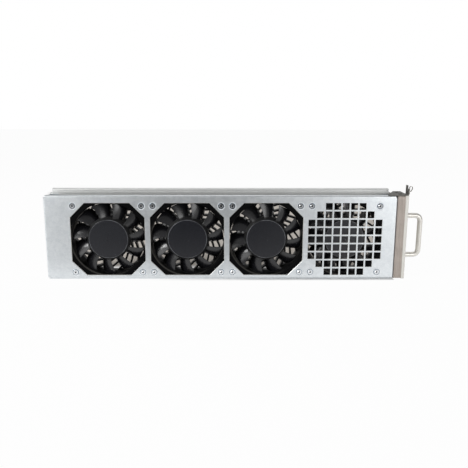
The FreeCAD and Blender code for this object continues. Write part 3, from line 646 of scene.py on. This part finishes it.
def smooth(piece, angle):
    nothing_selected()
    piece.select_set(True)
    bpy.context.view_layer.objects.active = piece
    bpy.ops.object.shade_smooth_by_angle(angle=angle)


# Foam gasket round the handle end
GASKET_WALL = 3.2 * MM
GASKET_CORNER = 2.4 * MM
GASKET_EDGE = 0.7 * MM
GASKET_CREASE = 0.22 * MM
GASKET_CUTS = 6
GASKET_EDGE_ANGLE = math.radians(50)
GASKET_SMOOTH_ANGLE = math.radians(60)
FLAT_SIDE = 0.6  # how far a vertex of the flat sides faces along the tray

# The noise of the creases and of the puckers: along the tray, round the band, and its seed
CREASES = (700, 1.7, 3.0)
CREASE_SHARE = 0.7
PUCKERS = (90, 9, 9.0)
PUCKER_SHARE = 0.5


def gasket_foam():
    """The fabric-covered foam band between the tray and the faceplate, with creases along it."""
    low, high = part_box("emi_gasket")
    band = start_box("gasket_foam", low, high)
    bpy.ops.object.mode_set(mode="EDIT")
    pick("FACE", lambda face: abs(face.normal.x) > 0.5)
    bpy.ops.mesh.delete(type="FACE")
    pick("EDGE", lambda edge: abs(edge.verts[0].co.x - edge.verts[1].co.x) > MM)
    bpy.ops.mesh.bevel(offset=GASKET_CORNER, segments=3, affect="EDGES")
    bpy.ops.mesh.select_all(action="SELECT")
    bpy.ops.mesh.subdivide(number_cuts=GASKET_CUTS)
    bpy.ops.object.mode_set(mode="OBJECT")
    apply_modifier(band, "SOLIDIFY", thickness=GASKET_WALL, offset=-1, use_even_offset=True)
    apply_modifier(band, "BEVEL", width=GASKET_EDGE, segments=2, limit_method="ANGLE",
                   angle_limit=GASKET_EDGE_ANGLE)
    crease(band, (low.y + high.y) / 2, (low.z + high.z) / 2)
    smooth(band, GASKET_SMOOTH_ANGLE)
    dress(band, gasket_fabric)
    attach(band, "tray")
    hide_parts("emi_gasket")


def crease(band, centre_y, centre_z):
    """Draws the band's faces in, apart from its two flat sides, along creases and puckers."""
    for vertex in band.data.vertices:
        if abs(vertex.normal.x) > FLAT_SIDE:
            continue
        place = vertex.co
        around = math.atan2(place.z - centre_z, place.y - centre_y)
        inward = GASKET_CREASE * (1 + band_noise(CREASES, place.x, around) * CREASE_SHARE
                                  + band_noise(PUCKERS, place.x, around) * PUCKER_SHARE)
        vertex.co = place - vertex.normal * inward


def band_noise(pattern, along, around):
    """Smooth noise from -1 to 1 on the band, at a place along the tray and round the band."""
    along_scale, around_scale, seed = pattern
    return noise.noise(Vector((along * along_scale, around * around_scale, seed)))


# Bow handle
HANDLE_RADIUS = 4.0 * MM
HANDLE_BEND = 8.5 * MM
HANDLE_LEGS = 63.5 * MM
HANDLE_SIDES = 28
HANDLE_SMOOTH_ANGLE = math.radians(40)
BEND_STEPS = 8


def bow_handle():
    """The round rod of the handle, run out from the faceplate, along and back again."""
    low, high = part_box("handle")
    depth = (low.y + high.y) / 2
    foot = (low.z + high.z - HANDLE_LEGS) / 2
    bend_start = high.x - HANDLE_RADIUS - HANDLE_BEND
    leg = bend_start - low.x
    nothing_selected()
    bpy.ops.mesh.primitive_circle_add(vertices=HANDLE_SIDES, radius=HANDLE_RADIUS,
                                      fill_type="NGON", location=(low.x, depth, foot),
                                      rotation=(0, math.pi / 2, 0))
    rod = bpy.context.object
    rod.name = "bow_handle"
    bpy.ops.object.transform_apply(location=True, rotation=True, scale=True)
    bpy.ops.object.mode_set(mode="EDIT")
    bpy.ops.mesh.select_mode(type="FACE")
    bpy.ops.mesh.select_all(action="SELECT")
    draw_out((leg, 0, 0))
    bend_round((bend_start, depth, foot + HANDLE_BEND))
    draw_out((0, 0, HANDLE_LEGS - HANDLE_BEND * 2))
    bend_round((bend_start, depth, foot + HANDLE_LEGS - HANDLE_BEND))
    draw_out((-leg, 0, 0))
    bpy.ops.mesh.select_all(action="SELECT")
    bpy.ops.mesh.normals_make_consistent(inside=False)
    bpy.ops.object.mode_set(mode="OBJECT")
    smooth(rod, HANDLE_SMOOTH_ANGLE)
    dress(rod, handle_metal)
    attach(rod, "tray")
    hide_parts("handle")


def draw_out(way):
    bpy.ops.mesh.extrude_region_move(TRANSFORM_OT_translate={"value": way})


def bend_round(centre):
    """A quarter turn of the selected end about a centre, towards the top."""
    bpy.ops.mesh.spin(steps=BEND_STEPS, angle=math.pi / 2, center=centre, axis=(0, 1, 0))


# Studio, in metres. The floor's beige region, partly a painted shadow tone behind the tray,
# spreads to both sides towards the back.
SHADOW_TINT_LEFT = -0.306
SHADOW_TINT_RIGHT = 0.258
SHADOW_TINT_SPREAD = 0.30
SHADOW_TINT_NEAR = 0.03
SHADOW_TINT_FAR = 0.90
SHADOW_TINT_EDGE = 0.03

# The shade in front of the tray, which its metal mirrors, by its reach and its strength
SHADE_MIDDLE = -0.06
SHADE_LEFT = 0.75
SHADE_RIGHT = 0.58
SHADE_FOOT = 0.075
SHADE_START = 0.11
SHADE_FULL = 0.5
SHADE_NEAR = 0.45
TABLE_EDGE = 0.6
TABLE_FADE = 0.1
ROOM_SHADE = 0.8

# The trace of a shadow at the tray's foot: where it starts and ends
FOOT_FRONT = (-0.0335, -0.0275)
FOOT_BACK = (0.05, 0.06)
FOOT_LEFT = (-0.2, 0.1)
FOOT_RIGHT = (0.247, 0.249)
FOOT_SHADE = 0.9

PAPER_DARK = (0.80, 0.80, 0.80)
PAPER_PALE = (0.84, 0.84, 0.84)
PAPER_BEIGE = (0.76, 0.71, 0.65)
PAPER_GLOW = 0.97
FLOOR_SIDE = 12

# The sky's strength as light, in metal and to the camera
SKY_LIT = 0.16
SKY_MIRRORED = 0.3
SKY_SHOWN = 1.0

# Each light's place, what it looks at, its width and height, and its power in watts
LIGHTS = {
    "key": ((-1.2, -0.75, 1.0), (-0.05, -0.05, 0.05), 0.5, 0.5, 12),
    "right": ((0.85, -1.10, 0.25), (0.25, 0.0, 0.03), 0.8, 0.6, 6),
    "left": ((-1.0, -1.0, 0.25), (-0.25, 0.0, 0.03), 0.8, 0.6, 3.5),
    "back": ((0.1, 1.0, 1.1), (0, 0.2, 0.0), 1.6, 1.0, 6),
}


def white_paper():
    """Matt white paper, white to the camera and to metal, with a trace of the shadow.

    Behind the tray it is matt, so that the tray's real shadow shows, and beige with soft edges,
    partly a painted shadow tone, which shows through the gaps of the fans.

    The metal front mirrors the camera's side of the room: a shade in the middle, where the
    camera stands, and a darker room beyond the edge of the table.
    """
    p = Paint("white_paper")
    seen = p.node("ShaderNodeLightPath", {}, {}, "Is Camera Ray")
    mirrored = p.node("ShaderNodeLightPath", {}, {}, "Is Glossy Ray")
    aside, behind = p.axis(0), p.axis(1)
    ahead = behind * -1

    off_middle = aside - SHADE_MIDDLE
    sideways = (off_middle / SHADE_RIGHT).most(off_middle / -SHADE_LEFT)
    rise = (ahead.step(SHADE_START, SHADE_FULL) * (1 - SHADE_NEAR)
            + ahead.step(SHADE_FOOT, SHADE_START) * SHADE_NEAR)
    room = ahead.step(TABLE_EDGE, TABLE_EDGE + TABLE_FADE) * ROOM_SHADE
    shade = ((1 - sideways.step(0.0, 1.0)) * rise).most(room)

    # the beige region behind the tray: the real shadow shows in it, and its beige is partly a
    # painted shadow tone
    spread = behind * SHADOW_TINT_SPREAD
    stain = ((aside - SHADOW_TINT_LEFT + spread).step(0, SHADOW_TINT_EDGE)
             * (SHADOW_TINT_RIGHT + spread - aside).step(0, SHADOW_TINT_EDGE)
             * behind.step(SHADOW_TINT_NEAR, SHADOW_TINT_NEAR + SHADOW_TINT_EDGE)
             * (1 - behind.step(SHADOW_TINT_FAR, SHADOW_TINT_FAR + SHADOW_TINT_EDGE)))
    foot = (behind.step(*FOOT_FRONT) * (1 - behind.step(*FOOT_BACK))
            * aside.step(*FOOT_LEFT) * (1 - aside.step(*FOOT_RIGHT)))

    white = p.between(PAPER_DARK, PAPER_PALE, p.grain(220, 3))
    matt = p.node("ShaderNodeBsdfDiffuse", {}, {"Color": p.between(white, PAPER_BEIGE, stain)})
    glow = p.node("ShaderNodeEmission", {},
                  {"Color": p.between((0, 0, 0), (1, 1, 1), seen.most(1 - shade)),
                   "Strength": 1.0})
    share = seen.most(mirrored) * PAPER_GLOW * (1 - foot * FOOT_SHADE) * (1 - stain)
    p.node_output(p.node("ShaderNodeMixShader", {}, {0: share, 1: matt, 2: glow}))
    return p.material


def floor():
    """One flat sheet of paper under the tray, far wider than the picture."""
    nothing_selected()
    bpy.ops.mesh.primitive_plane_add(size=FLOOR_SIDE, location=(0, 0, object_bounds()[0].z))
    sheet = bpy.context.object
    sheet.name = "floor"
    bpy.ops.object.transform_apply(location=True, rotation=True, scale=True)
    sheet.data.materials.append(white_paper())
    sheet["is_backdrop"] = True


def soft_light(name, place, target, width, height, power):
    data = bpy.data.lights.new(name, "AREA")
    data.shape = "RECTANGLE"
    data.size = width
    data.size_y = height
    data.energy = power
    lamp = bpy.data.objects.new(name, data)
    bpy.context.scene.collection.objects.link(lamp)
    lamp.location = place
    lamp.rotation_euler = (Vector(target) - Vector(place)).to_track_quat("-Z", "Y").to_euler()


def world(lit, mirrored, shown):
    """Even grey studio light, paler to metal and white to the camera."""
    sky = bpy.data.worlds.new("studio")
    sky.use_nodes = True
    tree = sky.node_tree
    tree.nodes.clear()
    path = tree.nodes.new("ShaderNodeLightPath")
    for_metal = tree.nodes.new("ShaderNodeMath")
    for_metal.operation = "MULTIPLY_ADD"
    for_metal.inputs[1].default_value = mirrored - lit
    for_metal.inputs[2].default_value = lit
    for_camera = tree.nodes.new("ShaderNodeMath")
    for_camera.operation = "MULTIPLY_ADD"
    for_camera.inputs[1].default_value = shown - lit
    backdrop = tree.nodes.new("ShaderNodeBackground")
    backdrop.inputs["Color"].default_value = (1, 1, 1, 1)
    out = tree.nodes.new("ShaderNodeOutputWorld")
    tree.links.new(path.outputs["Is Glossy Ray"], for_metal.inputs[0])
    tree.links.new(path.outputs["Is Camera Ray"], for_camera.inputs[0])
    tree.links.new(for_metal.outputs[0], for_camera.inputs[2])
    tree.links.new(for_camera.outputs[0], backdrop.inputs["Strength"])
    tree.links.new(backdrop.outputs[0], out.inputs["Surface"])
    bpy.context.scene.world = sky


def camera():
    data = bpy.data.cameras.new("camera")
    data.sensor_fit = "HORIZONTAL"
    data.lens = data.sensor_width * FOCAL_PIXELS / PHOTO_SIDE
    data.clip_start = 10 * MM
    eye = bpy.data.objects.new("camera", data)
    bpy.context.scene.collection.objects.link(eye)
    turn = (Matrix.Rotation(-CAMERA_YAW, 3, "Z")
            @ Matrix.Rotation(math.pi / 2 - CAMERA_PITCH, 3, "X")
            @ Matrix.Rotation(CAMERA_ROLL, 3, "Z"))
    eye.location = CAMERA_PLACE
    eye.rotation_euler = turn.to_euler()
    bpy.context.scene.camera = eye


def studio():
    floor()
    world(SKY_LIT, SKY_MIRRORED, SKY_SHOWN)
    for name, values in LIGHTS.items():
        soft_light(name, *values)
    camera()
    bpy.context.scene.view_settings.view_transform = "Standard"


dress_frame()
gasket_foam()
bow_handle()
studio()
